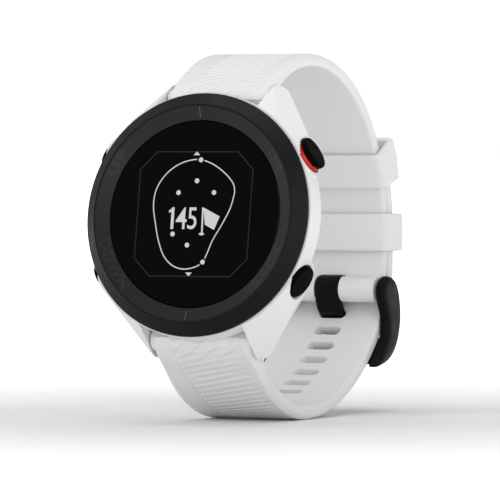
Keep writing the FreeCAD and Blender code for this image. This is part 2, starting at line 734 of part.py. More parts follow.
# ---------------------------------------------------------------- the whole watch
def main():
    os.makedirs("parts", exist_ok=True)
    in_watch_frame = {
        "case_body": case_body(),
        "bezel": bezel(),
        "lens": lens(),
        "lens_adhesive": ring(15.8, 16.6, LENS_T, LENS_T + GASKET_T),
        "bezel_gasket": ring(20.4, 21.5, CASE_FRONT_Y - GASKET_T, CASE_FRONT_Y),
        "rear_gasket": ring(17.95, 18.45, LEDGE_Y - 0.28, LEDGE_Y + 0.05),
        "rear_cover": rear_cover(),
        "rear_cover_screws": rear_cover_screws(),
        "charging_contacts": charging_contacts(),
        "display_module": display_module(),
        "display_frame": display_frame(),
        "display_flex": display_flex(),
        "gps_antenna": gps_antenna(),
        "battery": battery(),
        "battery_pad": battery_pad(),
        "main_board": main_board(),
        "board_chips": board_chips(),
        "board_screws": board_screws(),
        "side_switches": side_switches(),
        "button_guides": button_guides(),
        "button_seals": button_seals(),
        "button_springs": button_springs(),
        "ok_button_ring": ok_button_ring(),
    }
    for name in BUTTON_ANGLES:
        in_watch_frame[name] = button(name)
        in_watch_frame[name + "_clip"] = stem_clip(name)
    in_standing_frame = {
        "strap_upper": strap_upper(),
        "strap_lower": strap_lower(),
        "keeper_upper": keeper_upper(),
        "keeper_lower": keeper_lower(),
        "buckle_frame": buckle_frame(),
        "buckle_bar": buckle_bar(),
        "buckle_prong": buckle_prong(),
    }
    in_standing_frame.update(spring_bar("upper_spring_bar", 1, UPPER_HEADING - 90))
    in_standing_frame.update(spring_bar("lower_spring_bar", -1, LOWER_HEADING + 90))
    for name, shape in in_watch_frame.items():
        save(name, stand(shape))
    for name, shape in in_standing_frame.items():
        save(name, shift(shape))


main()
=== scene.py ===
import math

import bmesh
import bpy
import numpy as np
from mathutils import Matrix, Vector


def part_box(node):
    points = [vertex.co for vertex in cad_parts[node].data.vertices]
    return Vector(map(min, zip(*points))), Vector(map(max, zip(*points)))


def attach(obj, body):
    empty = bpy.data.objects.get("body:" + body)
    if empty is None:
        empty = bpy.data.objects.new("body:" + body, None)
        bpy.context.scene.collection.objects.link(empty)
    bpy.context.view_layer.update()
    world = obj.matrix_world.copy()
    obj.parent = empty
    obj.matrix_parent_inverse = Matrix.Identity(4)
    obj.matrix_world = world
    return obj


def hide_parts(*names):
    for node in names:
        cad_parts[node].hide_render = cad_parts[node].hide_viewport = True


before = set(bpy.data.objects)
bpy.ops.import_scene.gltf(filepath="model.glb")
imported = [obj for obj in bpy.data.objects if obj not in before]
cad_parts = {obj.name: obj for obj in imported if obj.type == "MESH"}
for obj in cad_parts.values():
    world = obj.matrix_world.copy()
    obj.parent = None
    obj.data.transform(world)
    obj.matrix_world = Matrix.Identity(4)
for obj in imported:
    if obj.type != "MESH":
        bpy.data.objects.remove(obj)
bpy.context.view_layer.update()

MM = 0.001
LEAN = math.radians(9.0)      # backward lean of the head
BACK = Vector((0, math.cos(LEAN), -math.sin(LEAN)))   # from the dial into the case
UP = Vector((0, math.sin(LEAN), math.cos(LEAN)))      # towards 12 o'clock
LENS_LOW, LENS_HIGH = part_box("lens")
DIAL = (LENS_LOW + LENS_HIGH) / 2 - BACK * 0.525 * MM  # centre of the lens's front face


def on_watch(x, y, z):
    """Watch-frame millimetres to the row frame in metres."""
    return DIAL + (Vector((x, 0, 0)) + BACK * y + UP * z) * MM


def on_band(x, y, z):
    """Standing-frame millimetres to the row frame in metres."""
    return DIAL + Vector((x, y, z)) * MM


# ---------------------------------------------------------------- camera, floor and lights
CAMERA_YAW = math.radians(26.1)      # to the right of the dial's front
CAMERA_TILT = math.radians(1.2)
CAMERA_DISTANCE = 0.9
CAMERA_AIM = (8.89, 4.21, -6.355)    # standing-frame millimetres
CAMERA_LENS = 367.1
FLOOR_REACH = 12.0
FLOOR_LEVEL = -0.00005               # just under the band
SKY_STRENGTH = 0.55                  # what lights the watch
BACKDROP_STRENGTH = 1.02             # what the camera sees
LIGHTS_AIM = (0, 0, 0.035)
SOFTBOXES = (                        # name, place, size and power
    ("softbox_top", (0.0, -0.05, 0.9), (0.8, 0.8), 2.65),
    ("softbox_left", (-0.9, -0.5, 0.40), (0.4, 0.8), 1.7),
    ("softbox_right", (0.95, -0.45, 0.35), (0.4, 0.7), 2.1),
    ("softbox_front", (0.35, -1.1, 0.10), (0.9, 0.18), 2.1),
)


def place_camera():
    yaw, tilt = CAMERA_YAW, CAMERA_TILT
    away = Vector((math.sin(yaw) * math.cos(tilt), -math.cos(yaw) * math.cos(tilt), math.sin(tilt)))
    data = bpy.data.cameras.new("camera")
    data.sensor_width = 36.0
    data.lens = CAMERA_LENS
    camera = bpy.data.objects.new("camera", data)
    bpy.context.scene.collection.objects.link(camera)
    camera.location = on_band(*CAMERA_AIM) + away * CAMERA_DISTANCE
    camera.rotation_mode = "QUATERNION"
    camera.rotation_quaternion = (-away).to_track_quat("-Z", "Y")
    data.clip_end = 100.0
    bpy.context.scene.camera = camera


def area_light(name, place, size, power):
    data = bpy.data.lights.new(name, "AREA")
    data.shape = "RECTANGLE"
    data.size, data.size_y = size
    data.energy = power
    light = bpy.data.objects.new(name, data)
    bpy.context.scene.collection.objects.link(light)
    light.location = place
    light.rotation_mode = "QUATERNION"
    light.rotation_quaternion = (Vector(LIGHTS_AIM) - Vector(place)).to_track_quat("-Z", "Y")


def set_stage():
    mesh = bpy.data.meshes.new("floor")
    reach, level = FLOOR_REACH, FLOOR_LEVEL
    mesh.from_pydata([(-reach, -reach, level), (reach, -reach, level), (reach, reach, level),
                      (-reach, reach, level)], [], [(0, 1, 2, 3)])
    floor = bpy.data.objects.new("floor", mesh)
    bpy.context.scene.collection.objects.link(floor)
    mesh.materials.append(floor_with_painted_light())
    world = bpy.data.worlds.new("studio")
    world.use_nodes = True
    tree = world.node_tree
    sky = tree.nodes["Background"]
    backdrop = tree.nodes.new("ShaderNodeBackground")
    backdrop.inputs["Color"].default_value = (1.0, 1.0, 1.0, 1.0)
    backdrop.inputs["Strength"].default_value = BACKDROP_STRENGTH
    sky.inputs["Color"].default_value = (1.0, 1.0, 1.0, 1.0)
    sky.inputs["Strength"].default_value = SKY_STRENGTH
    seen = tree.nodes.new("ShaderNodeLightPath")
    either = tree.nodes.new("ShaderNodeMixShader")
    tree.links.new(seen.outputs["Is Camera Ray"], either.inputs["Fac"])
    tree.links.new(sky.outputs[0], either.inputs[1])
    tree.links.new(backdrop.outputs[0], either.inputs[2])
    tree.links.new(either.outputs[0], tree.nodes["World Output"].inputs["Surface"])
    bpy.context.scene.world = world
    for softbox in SOFTBOXES:
        area_light(*softbox)
    bpy.context.scene.view_settings.view_transform = "Standard"


# ---------------------------------------------------------------- materials
class Finish:
    """A procedural material: mottled colour, uneven roughness and a fine surface grain."""

    def __init__(self, name, colour, roughness, mottle=0.04, mottle_scale=60.0, grain=0.02,
                 grain_scale=4000.0, **sockets):
        self.material = bpy.data.materials.new(name)
        self.material.use_nodes = True
        self.tree = self.material.node_tree
        self.shader = self.tree.nodes["Principled BSDF"]
        for socket, value in sockets.items():
            self.shader.inputs[socket.replace("_", " ")].default_value = value
        self.place = self.node("ShaderNodeTexCoord").outputs["Object"]
        cloud = self.noise(mottle_scale, 3.0)
        dark = [c * (1 - mottle) for c in colour]
        light = [min(1.0, c * (1 + mottle)) for c in colour]
        self.colour = self.mix(cloud, dark, light)
        self.link(self.colour, self.shader.inputs["Base Color"])
        rough = self.ranged(self.noise(mottle_scale * 3, 2.0), roughness * 0.88, roughness * 1.12)
        self.link(rough, self.shader.inputs["Roughness"])
        height = self.noise(grain_scale, 2.0)
        self.bump = self.node("ShaderNodeBump")
        self.bump.inputs["Strength"].default_value = 0.35
        self.bump.inputs["Distance"].default_value = grain * MM
        self.link(height, self.bump.inputs["Height"])
        self.link(self.bump.outputs["Normal"], self.shader.inputs["Normal"])

    def node(self, kind):
        return self.tree.nodes.new(kind)

    def link(self, a, b):
        self.tree.links.new(a, b)

    def noise(self, scale, detail):
        made = self.node("ShaderNodeTexNoise")
        made.inputs["Scale"].default_value = scale
        made.inputs["Detail"].default_value = detail
        self.link(self.place, made.inputs["Vector"])
        return made.outputs["Fac"]

    def wave(self, scale, direction):
        made = self.node("ShaderNodeTexWave")
        made.bands_direction = direction
        made.inputs["Scale"].default_value = scale
        made.inputs["Distortion"].default_value = 0.6
        self.link(self.place, made.inputs["Vector"])
        return made.outputs["Fac"]

    def math(self, operation, a, b=None):
        made = self.node("ShaderNodeMath")
        made.operation = operation
        for socket, value in zip(made.inputs, (a, b)):
            if value is None:
                continue
            if isinstance(value, (int, float)):
                socket.default_value = value
            else:
                self.link(value, socket)
        return made.outputs[0]

    def ranged(self, source, low, high, start=0.3, end=0.7):
        """Map the source's start to end on to low to high."""
        made = self.node("ShaderNodeMapRange")
        for name, value in (("From Min", start), ("From Max", end), ("To Min", low), ("To Max", high)):
            made.inputs[name].default_value = value
        self.link(source, made.inputs["Value"])
        return made.outputs["Result"]

    def mix(self, factor, a, b):
        made = self.node("ShaderNodeMix")
        made.data_type = "RGBA"
        self.link(factor, made.inputs["Factor"])
        for socket, value in ((made.inputs["A"], a), (made.inputs["B"], b)):
            for target in (s for s in made.inputs if s.name == socket.name and s.type == "RGBA"):
                if isinstance(value, (list, tuple)):
                    target.default_value = (*value[:3], 1.0)
                else:
                    self.link(value, target)
        return [s for s in made.outputs if s.type == "RGBA"][0]

    def recolour(self, factor, other):
        """Mix a second colour in by a factor socket."""
        self.colour = self.mix(factor, self.colour, other)
        self.link(self.colour, self.shader.inputs["Base Color"])

    def reheight(self, socket, distance):
        """Use another height for the bump."""
        self.bump.inputs["Distance"].default_value = distance * MM
        self.link(socket, self.bump.inputs["Height"])


INNER_RING_EDGE = (19.1, 19.35)      # radii over which the bezel's inner ring meets its outer one
FLOOR_NEAR = (0.05, 0.17)            # distances over which the floor starts to glow: painted light, which leaves painted shade round the watch
FLOOR_FAR = (0.16, 0.7)              # distances over which it becomes the backdrop's white
GLASS_SPECULAR = 0.07


def radius_from_axis(finish):
    """Distance in millimetres from the watch's axis."""
    offset = finish.node("ShaderNodeVectorMath")
    offset.operation = "SUBTRACT"
    finish.link(finish.place, offset.inputs[0])
    offset.inputs[1].default_value = DIAL
    along = finish.node("ShaderNodeVectorMath")
    along.operation = "DOT_PRODUCT"
    finish.link(offset.outputs[0], along.inputs[0])
    along.inputs[1].default_value = BACK
    square = finish.node("ShaderNodeVectorMath")
    square.operation = "DOT_PRODUCT"
    finish.link(offset.outputs[0], square.inputs[0])
    finish.link(offset.outputs[0], square.inputs[1])
    depth = finish.math("MULTIPLY", along.outputs["Value"], along.outputs["Value"])
    across = finish.math("SUBTRACT", square.outputs["Value"], depth)
    return finish.math("MULTIPLY", finish.math("SQRT", across), 1000.0)


def bezel_with_painted_ring_light():
    """Satin black, with the sloping inner ring painted a little lighter than the outer one: painted light,
    standing in for the light its slope catches.
    """
    finish = Finish("bezel_with_painted_ring_light", (0.004, 0.004, 0.0045), 0.42, 0.10, 120.0, 0.012, 7000.0,
                    Specular_IOR_Level=0.14)
    # painted light: the inner ring's lighter colour stands in for the light falling on its slope
    inner = finish.ranged(radius_from_axis(finish), 1.0, 0.0, *INNER_RING_EDGE)
    finish.recolour(inner, (0.014, 0.014, 0.015))
    return finish.material


def floor_with_painted_light():
    """White sweep with painted light: it glows more away from the watch, leaving painted shade near it, and
    fades into the white background further out.
    """
    finish = Finish("floor_with_painted_light", (0.86, 0.86, 0.86), 0.7, 0.004, 3.0, 0.0, 800.0, Specular_IOR_Level=0.1)
    far = finish.node("ShaderNodeVectorMath")
    far.operation = "LENGTH"
    finish.link(finish.place, far.inputs[0])
    # painted light: the glow is nil near the watch and rises away from it, so the floor round the watch stays
    # darker as painted shade
    near = finish.ranged(far.outputs["Value"], 0.0, 0.40, *FLOOR_NEAR)
    fade = finish.ranged(far.outputs["Value"], 0.0, 1.0, *FLOOR_FAR)
    finish.shader.inputs["Emission Color"].default_value = (1.0, 1.0, 1.0, 1.0)
    finish.link(finish.math("ADD", near, fade), finish.shader.inputs["Emission Strength"])
    return finish.material


def glow(name, colour, speckle):
    """Part of the display's picture, made to glow as painted light in place of being lit through the glass:
    even light with a faint pixel mottle.
    """
    finish = Finish(name, (0.0, 0.0, 0.0), 0.10, 0.0, 60.0, 0.0, 3000.0, Specular_IOR_Level=GLASS_SPECULAR)
    grid = finish.noise(5200.0, 1.0)
    low = [c * (1 - speckle) for c in colour]
    finish.link(finish.mix(grid, low, list(colour)), finish.shader.inputs["Emission Color"])
    # painted light: the picture glows though it is no lamp
    finish.shader.inputs["Emission Strength"].default_value = 1.0
    return finish.material


def board_finish():
    """Green solder mask with lighter lines for its tracks."""
    finish = Finish("board_finish", (0.01, 0.06, 0.03), 0.35, 0.1, 200.0, 0.01, 4000.0)
    tracks = finish.node("ShaderNodeTexVoronoi")
    tracks.feature = "DISTANCE_TO_EDGE"
    tracks.inputs["Scale"].default_value = 520.0
    finish.link(finish.place, tracks.inputs["Vector"])
    line = finish.ranged(tracks.outputs["Distance"], 1.0, 0.0, 0.02, 0.06)
    finish.recolour(line, (0.03, 0.14, 0.07))
    return finish.material


def brushed(name, colour, roughness, scale, direction="Z"):
    """Metal with fine lines across a direction."""
    finish = Finish(name, colour, roughness, 0.08, 150.0, 0.01, 5000.0, Metallic=1.0)
    finish.reheight(finish.wave(scale, direction), 0.006)
    return finish.material


WHITE_CASE = Finish("case_finish", (0.76, 0.76, 0.765), 0.40, 0.012, 80.0, 0.008, 6000.0,
                    Specular_IOR_Level=0.45).material
BEZEL = bezel_with_painted_ring_light()
SILICONE = Finish("silicone_finish", (0.72, 0.72, 0.724), 0.52, 0.012, 90.0, 0.012, 5200.0,
                  Specular_IOR_Level=0.35, Sheen_Weight=0.06, Sheen_Roughness=0.5).material
BLACK_SATIN = Finish("black_satin_finish", (0.004, 0.004, 0.0045), 0.40, 0.1, 150.0, 0.01, 6500.0,
                     Specular_IOR_Level=0.07).material
BUTTON_BLACK = Finish("button_finish", (0.0025, 0.0025, 0.0028), 0.50, 0.1, 150.0, 0.008, 7000.0,
                      Specular_IOR_Level=0.012).material
RED = Finish("red_ring_finish", (0.62, 0.02, 0.012), 0.30, 0.05, 300.0, 0.006, 6000.0,
             Metallic=0.35).material
LABEL = Finish("label_finish", (0.060, 0.060, 0.062), 0.4, 0.05, 300.0, 0.004, 6000.0).material
# cover glass with black print right behind it: deep black, with a coated front's faint reflections
LENS = Finish("lens_finish", (0.0006, 0.0006, 0.0006), 0.10, 0.1, 60.0, 0.0, 3000.0,
              Specular_IOR_Level=GLASS_SPECULAR).material
# painted light: screen, border and ink glow in place of being lit
SCREEN = glow("screen_painted_light", (0.0035, 0.0035, 0.0037), 0.12)
BORDER = glow("screen_border_painted_light", (0.022, 0.022, 0.023), 0.15)
INK = glow("screen_ink_painted_light", (0.64, 0.64, 0.65), 0.06)
REAR = Finish("rear_cover_finish", (0.78, 0.78, 0.79), 0.45, 0.015, 80.0, 0.012, 3000.0).material
FOAM = Finish("foam_finish", (0.015, 0.015, 0.015), 0.9, 0.2, 900.0, 0.05, 2500.0).material
RUBBER = Finish("seal_finish", (0.02, 0.02, 0.02), 0.6, 0.15, 400.0, 0.02, 3000.0).material
STEEL = brushed("steel_finish", (0.56, 0.56, 0.57), 0.32, 900.0)
SPRING = brushed("spring_finish", (0.50, 0.50, 0.52), 0.28, 2500.0, "X")
CHASSIS = Finish("chassis_finish", (0.012, 0.012, 0.013), 0.55, 0.15, 200.0, 0.02, 3000.0).material
PANEL = Finish("display_glass_finish", (0.006, 0.006, 0.008), 0.12, 0.08, 250.0, 0.002, 3000.0).material
GOLD = brushed("contact_finish", (0.86, 0.62, 0.24), 0.22, 1500.0)
FLEX = Finish("flex_finish", (0.45, 0.17, 0.03), 0.35, 0.2, 700.0).material
ANTENNA = brushed("antenna_finish", (0.62, 0.34, 0.16), 0.3, 1200.0)
CELL = brushed("battery_finish", (0.62, 0.62, 0.64), 0.38, 250.0, "X")
BOARD = board_finish()
CHIP = Finish("chip_finish", (0.012, 0.012, 0.013), 0.5, 0.3, 2500.0, 0.02).material

# the finish of every CAD node that shows as it is
CAD_FINISHES = (
    (WHITE_CASE, ["case_body"]),
    (REAR, ["rear_cover"]),
    (BEZEL, ["bezel"]),
    (LENS, ["lens"]),
    (BUTTON_BLACK, ["ok_button", "back_button", "up_button", "down_button"]),
    (RED, ["ok_button_ring"]),
    (FOAM, ["lens_adhesive", "battery_pad"]),
    (RUBBER, ["bezel_gasket", "rear_gasket", "button_seals"]),
    (STEEL, ["rear_cover_screws", "board_screws", "side_switches", "button_guides", "buckle_bar",
             "upper_spring_bar_tube", "upper_spring_bar_fixed_pin", "upper_spring_bar_release_pin",
             "lower_spring_bar_tube", "lower_spring_bar_fixed_pin", "lower_spring_bar_release_pin"]),
    (SPRING, ["upper_spring_bar_spring", "lower_spring_bar_spring", "button_springs",
              "ok_button_clip", "back_button_clip", "up_button_clip", "down_button_clip"]),
    (GOLD, ["charging_contacts"]),
    (CHASSIS, ["display_frame"]),
    (PANEL, ["display_module"]),
    (FLEX, ["display_flex"]),
    (ANTENNA, ["gps_antenna"]),
    (CELL, ["battery"]),
    (BOARD, ["main_board"]),
    (CHIP, ["board_chips"]),
)


def finish_cad_nodes():
    for finish, names in CAD_FINISHES:
        for name in names:
            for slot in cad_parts[name].material_slots:
                slot.material = finish


# ---------------------------------------------------------------- mesh helpers
def make_object(name, verts, faces):
    mesh = bpy.data.meshes.new(name)
    mesh.from_pydata([tuple(v) for v in verts], [], faces)
    mesh.update()
    made = bpy.data.objects.new(name, mesh)
    bpy.context.scene.collection.objects.link(made)
    return made


def tidy_mesh(made, sharp=38.0):
    """Consistent normals, and smooth shading with the real edges kept."""
    work = bmesh.new()
    work.from_mesh(made.data)
    bmesh.ops.remove_doubles(work, verts=work.verts, dist=1e-7)
    bmesh.ops.recalc_face_normals(work, faces=work.faces)
    work.to_mesh(made.data)
    work.free()
    made.data.shade_smooth()
    made.data.set_sharp_from_angle(angle=math.radians(sharp))


def settle(made, finish, body, replaced=(), sharp=38.0):
    """Finish a piece and give it to its body."""
    tidy_mesh(made, sharp)
    made.data.materials.clear()
    made.data.materials.append(finish)
    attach(made, body)
    if replaced:
        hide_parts(*replaced)


def tube_faces(rings, around, closed=False):
    """Quads between rings of points; closed joins the last ring to the first, or both ends are capped."""
    faces = []
    last = rings if closed else rings - 1
    for i in range(last):
        a, b = i * around, (i + 1) % rings * around
        for j in range(around):
            k = (j + 1) % around
            faces.append((a + j, a + k, b + k, b + j))
    if not closed:
        faces.append(tuple(range(around))[::-1])
        faces.append(tuple((rings - 1) * around + j for j in range(around)))
    return faces


def combine(target, tool, operation):
    """Apply a Boolean with the tool, which is used up."""
    tidy_mesh(target)
    tidy_mesh(tool)
    change = target.modifiers.new("change", "BOOLEAN")
    change.operation = operation
    change.object = tool
    change.solver = "EXACT"
    graph = bpy.context.evaluated_depsgraph_get()
    made = bpy.data.meshes.new_from_object(target.evaluated_get(graph))
    target.modifiers.clear()
    target.data = made
    bpy.data.objects.remove(tool)


def lathe_x(name, profile, centre, around=40):
    """Turned piece about a line along X through centre (y, z), from (x, radius) points."""
    verts = []
    for x, r in profile:
        for j in range(around):
            a = 2 * math.pi * j / around
            verts.append(on_band(x, centre[0] + r * math.cos(a), centre[1] + r * math.sin(a)))
    return make_object(name, verts, tube_faces(len(profile), around))


def box_tool(x, y, z, turn=0.0, centre=(0, 0)):
    """Box in the standing frame, turned about X through centre."""
    verts = []
    for px in x:
        for py in y:
            for pz in z:
                cy = py * math.cos(turn) - pz * math.sin(turn)
                cz = py * math.sin(turn) + pz * math.cos(turn)
                verts.append(on_band(px, centre[0] + cy, centre[1] + cz))
    faces = [(0, 1, 3, 2), (4, 6, 7, 5), (0, 4, 5, 1), (2, 3, 7, 6), (0, 2, 6, 4), (1, 5, 7, 3)]
    return make_object("tool", verts, faces)


# ---------------------------------------------------------------- band paths, in the standing frame
STRAP_T = 2.3                        # thickness
STRAP_HALF = 9.9                     # half of the width
CROWN_R = 30.0                       # the inner face's radius over the top of the wrist opening
BEAD_R = 2.15                        # the bead round a lug's spring bar
TAIL_GAP = 0.37                      # between the upper strap and the tail on it
LUG_BORE_R = 0.8
BUCKLE_BORE_R = 0.78
ROLL_R = 2.4                         # the rolled end round the buckle's bar
PRONG_EYE_R = 2.6
PRONG_EYE_FLAT_R = 1.65             # the eye is flatter on the side away from the dial
TAIL_TIP = 6.0                       # length of the lower strap's rounded end
PRONG_HALF = 2.35
UPPER = {"start": (10.47, 19.06), "heading": 46.8, "side": 1,
         "runs": [("arc", 22.7, -35.3), ("arc", CROWN_R, -101.5), ("line", 2.4), ("arc", 25.0, -12.0),
                  ("line", 3.3)]}
LOWER = {"start": (5.05, -21.31), "heading": -63.9, "side": -1,
         "runs": [("arc", 24.6, 70.2), ("arc", 40.5, 48.8), ("arc", 13.0, 34.9), ("line", 6.8),
                  ("arc", CROWN_R + STRAP_T + TAIL_GAP, 27.0)]}
PATH_END = 1000                      # any distance past the end of a path
PRONG_SLOT_AT = 62.85
SLOT_PITCH = 3.97
SLOTS_EACH_SIDE = 6
SLOT_R = 0.95
SLOT_STRAIGHT = 1.65                 # half of the slot's straight length
UPPER_BAR = (10.69, 20.18)           # the spring bars' (y, z)
LOWER_BAR = (3.93, -22.49)
BUCKLE_BAR_SHIFT = 1.55              # how far the buckle's bar lies towards the dial from the strap's middle
UPPER_PANEL = {"left": (-5.55, 0.07), "right": (7.0, 0.08), "slant": -0.33, "pitch": 1.15,
               "end": 24.0, "waves": False}
LOWER_PANEL = {"left": (-6.1, 0.08), "right": (7.1, 0.11), "slant": 0.235, "pitch": 1.3,
               "end": 30.0, "waves": True}
RIB_DEPTH = 0.19
WAVE_DEPTH = 0.30
LINE_DEPTH = 0.09                    # the stitched-looking line along the panel's left side
DOT_DEPTH = 0.20                     # the dots on that line


def on_path(path, distance):
    """(y, z, angle) at a distance along a band path's inner face."""
    y, z = path["start"]
    angle = math.radians(path["heading"])
    left = distance
    for run in path["runs"]:
        length = run[1] if run[0] == "line" else run[1] * math.radians(abs(run[2]))
        part = min(left, length)
        if run[0] == "line":
            y += part * math.cos(angle)
            z += part * math.sin(angle)
        else:
            way = math.copysign(1, run[2])
            turn = way * part / run[1]
            y += way * run[1] * (math.sin(angle + turn) - math.sin(angle))
            z -= way * run[1] * (math.cos(angle + turn) - math.cos(angle))
            angle += turn
        left -= part
        if left <= 0:
            break
    return y, z, angle


def path_length(path):
    """Length of a band path along its inner face."""
    return sum(run[1] if run[0] == "line" else run[1] * math.radians(abs(run[2])) for run in path["runs"])


def smooth_step(value, low, high):
    """Eased ramp from 0 at low to 1 at high."""
    t = np.clip((value - low) / (high - low), 0, 1)
    return t * t * (3 - 2 * t)


def saw(phase):
    """Ramp that rises slowly from 0 to 1 and drops back over its last part."""
    part = phase - np.floor(phase)
    return np.where(part < 0.82, part / 0.82, (1 - part) / 0.18)


def panel_depth(s, x, panel):
    """How deep the moulded pattern lies below the outer face at distance s and side x."""
    left = panel["left"][0] + panel["left"][1] * s
    right = panel["right"][0] + panel["right"][1] * s
    inside = smooth_step(x, left + 0.15, left + 0.5) * smooth_step(-x, -right, -right + 0.7)
    inside = inside * smooth_step(-s, -panel["end"], -panel["end"] + 5.0)
    depth = inside * RIB_DEPTH * saw((s + panel["slant"] * x) / panel["pitch"])
    line = np.exp(-((x - left) / 0.13) ** 2) * smooth_step(-s, -panel["end"] + 1.0, -panel["end"] + 3.0)
    dots = (0.5 + 0.5 * np.cos(2 * math.pi * (s + panel["slant"] * left) / panel["pitch"])) ** 2
    depth = depth + line * (LINE_DEPTH + DOT_DEPTH * dots)
    if panel["waves"]:
        crest = saw(-(x + 1.65 * s) / 3.75 + 0.12)
        near = smooth_step(-s, -4.2, -2.2) * smooth_step(x, left, left + 0.3) * smooth_step(-x, -8.4, -7.9)
        depth = depth + WAVE_DEPTH * crest * near
    return depth


SHOULDER = [(-0.95, -0.02), (-0.78, -0.10), (-0.62, -0.24), (-0.20, -0.66), (-0.07, -0.83), (0.0, -1.05)]
INNER_EDGE = [(0.0, 0.50), (-0.03, 0.30), (-0.12, 0.13), (-0.28, 0.03), (-0.5, 0.0)]


def strap_section(half, thickness, columns, shoulder):
    """Closed loop of (x, height, is_face) points: outer face, shoulder, side, inner face and back."""
    face = np.linspace(-(half - 1.15 * shoulder), half - 1.15 * shoulder, columns)
    loop = [(x, thickness, True) for x in face]
    loop += [(half + dx * shoulder, thickness + dn * shoulder, False) for dx, dn in SHOULDER]
    loop += [(half + dx, n, False) for dx, n in INNER_EDGE]
    loop += [(x, 0.0, False) for x in np.linspace(half - 1.2, -(half - 1.2), 15)]
    loop += [(-(half + dx), n, False) for dx, n in reversed(INNER_EDGE)]
    loop += [(-(half + dx * shoulder), thickness + dn * shoulder, False) for dx, dn in reversed(SHOULDER)]
    return loop


def bead_place(path, bar):
    """The bead's centre as (distance along the path, height above the inner face)."""
    y, z, angle = on_path(path, 0.0)
    dy, dz = bar[0] - y, bar[1] - z
    side = path["side"]
    return (dy * math.cos(angle) + dz * math.sin(angle), side * (dz * math.cos(angle) - dy * math.sin(angle)))


def strap_body(name, path, panel, bar, tip):
    """The swept strap with its moulded panel; tip is the length of a rounded free end, or 0."""
    length = path_length(path)
    along, high = bead_place(path, bar)
    stations = np.concatenate([np.arange(along - 1.4, panel["end"], 0.17),
                               np.linspace(panel["end"], length, int((length - panel["end"]) / 0.7))])
    if tip:
        inside = stations[stations < length - tip]
        round_end = length - tip + tip * np.sin(np.linspace(0, math.pi / 2, 16))
        stations = np.concatenate([inside, round_end])
    full = np.array(strap_section(STRAP_HALF, STRAP_T, 118, 1.0), dtype=float)
    flat = np.array(strap_section(STRAP_HALF, STRAP_T, 118, 0.4), dtype=float)
    faces_out = full[:, 2] > 0.5
    side = path["side"]
    verts = []
    for s in stations:
        width = 1.0
        if tip and s > length - tip:
            width = math.sqrt(max(0.0, 1 - ((s - length + tip) / tip) ** 2)) * 0.86 + 0.14
        section = full + (flat - full) * float(smooth_step(s, 20.0, 40.0))
        if s < along:
            rise = (high + math.sqrt(BEAD_R ** 2 - (s - along) ** 2)) / STRAP_T
        else:
            peak = (high + BEAD_R) / STRAP_T
            rise = peak + (1 - peak) * float(smooth_step(s, along, along + 7.0))
        xs = section[:, 0]
        depth = np.where(faces_out, panel_depth(np.full_like(xs, s), xs, panel), 0.0)
        y, z, angle = on_path(path, s)
        for x, out in zip(xs * width, section[:, 1] * rise - depth):
            verts.append(on_band(x, y - side * out * math.sin(angle), z + side * out * math.cos(angle)))
    return make_object(name, verts, tube_faces(len(stations), len(full)))


def slot_tool(path, distance):
    """Rounded slot through the strap, eased at the inner face."""
    levels = [(-0.4, 0.14), (0.0, 0.14), (0.08, 0.06), (0.22, 0.0), (2.8, 0.0)]
    around = 36
    verts = []
    y, z, angle = on_path(path, distance)
    side = path["side"]
    tangent = (math.cos(angle), math.sin(angle))
    normal = (-side * math.sin(angle), side * math.cos(angle))
    for out, flare in levels:
        r = SLOT_R + flare
        for j in range(around):
            a = 2 * math.pi * (j + 0.5) / around
            x = math.copysign(SLOT_STRAIGHT, math.cos(a)) + r * math.cos(a)
            along = r * math.sin(a)
            verts.append(on_band(x, y + tangent[0] * along + normal[0] * out,
                                 z + tangent[1] * along + normal[1] * out))
    return verts, tube_faces(len(levels), around)


def many_slots(path):
    """The row of slots either side of the one that the prong is in, as one tool."""
    verts, faces = [], []
    for step in range(-SLOTS_EACH_SIDE, SLOTS_EACH_SIDE + 1):
        more, sides = slot_tool(path, PRONG_SLOT_AT + step * SLOT_PITCH)
        base = len(verts)
        verts += more
        faces += [tuple(base + i for i in face) for face in sides]
    return make_object("tool", verts, faces)


def bead(name, centre, radius, half):
    """Solid round bead with softened ends."""
    e = 0.3
    profile = [(-half, radius - e), (-half + 0.08, radius - 0.12), (-half + e, radius),
               (half - e, radius), (half - 0.08, radius - 0.12), (half, radius - e)]
    return lathe_x(name, profile, centre, 64)


def bore(centre, radius):
    """Tool for a bore right across the band."""
    return lathe_x("tool", [(-13, radius), (13, radius)], centre, 32)


def buckle_bar_centre():
    y, z, angle = on_path(UPPER, PATH_END)
    return (y - STRAP_T / 2 * math.sin(angle) - BUCKLE_BAR_SHIFT, z + STRAP_T / 2 * math.cos(angle))


def add_lug_end(strap, bar, inward):
    """Bead and bore for the spring bar, and the window over its release knob."""
    combine(strap, bead("tool", bar, BEAD_R - 0.25, STRAP_HALF), "UNION")
    combine(strap, bore(bar, LUG_BORE_R), "DIFFERENCE")
    combine(strap, box_tool((4.2, 7.6), (0, 6), (-0.9, 0.9), math.radians(inward), bar), "DIFFERENCE")


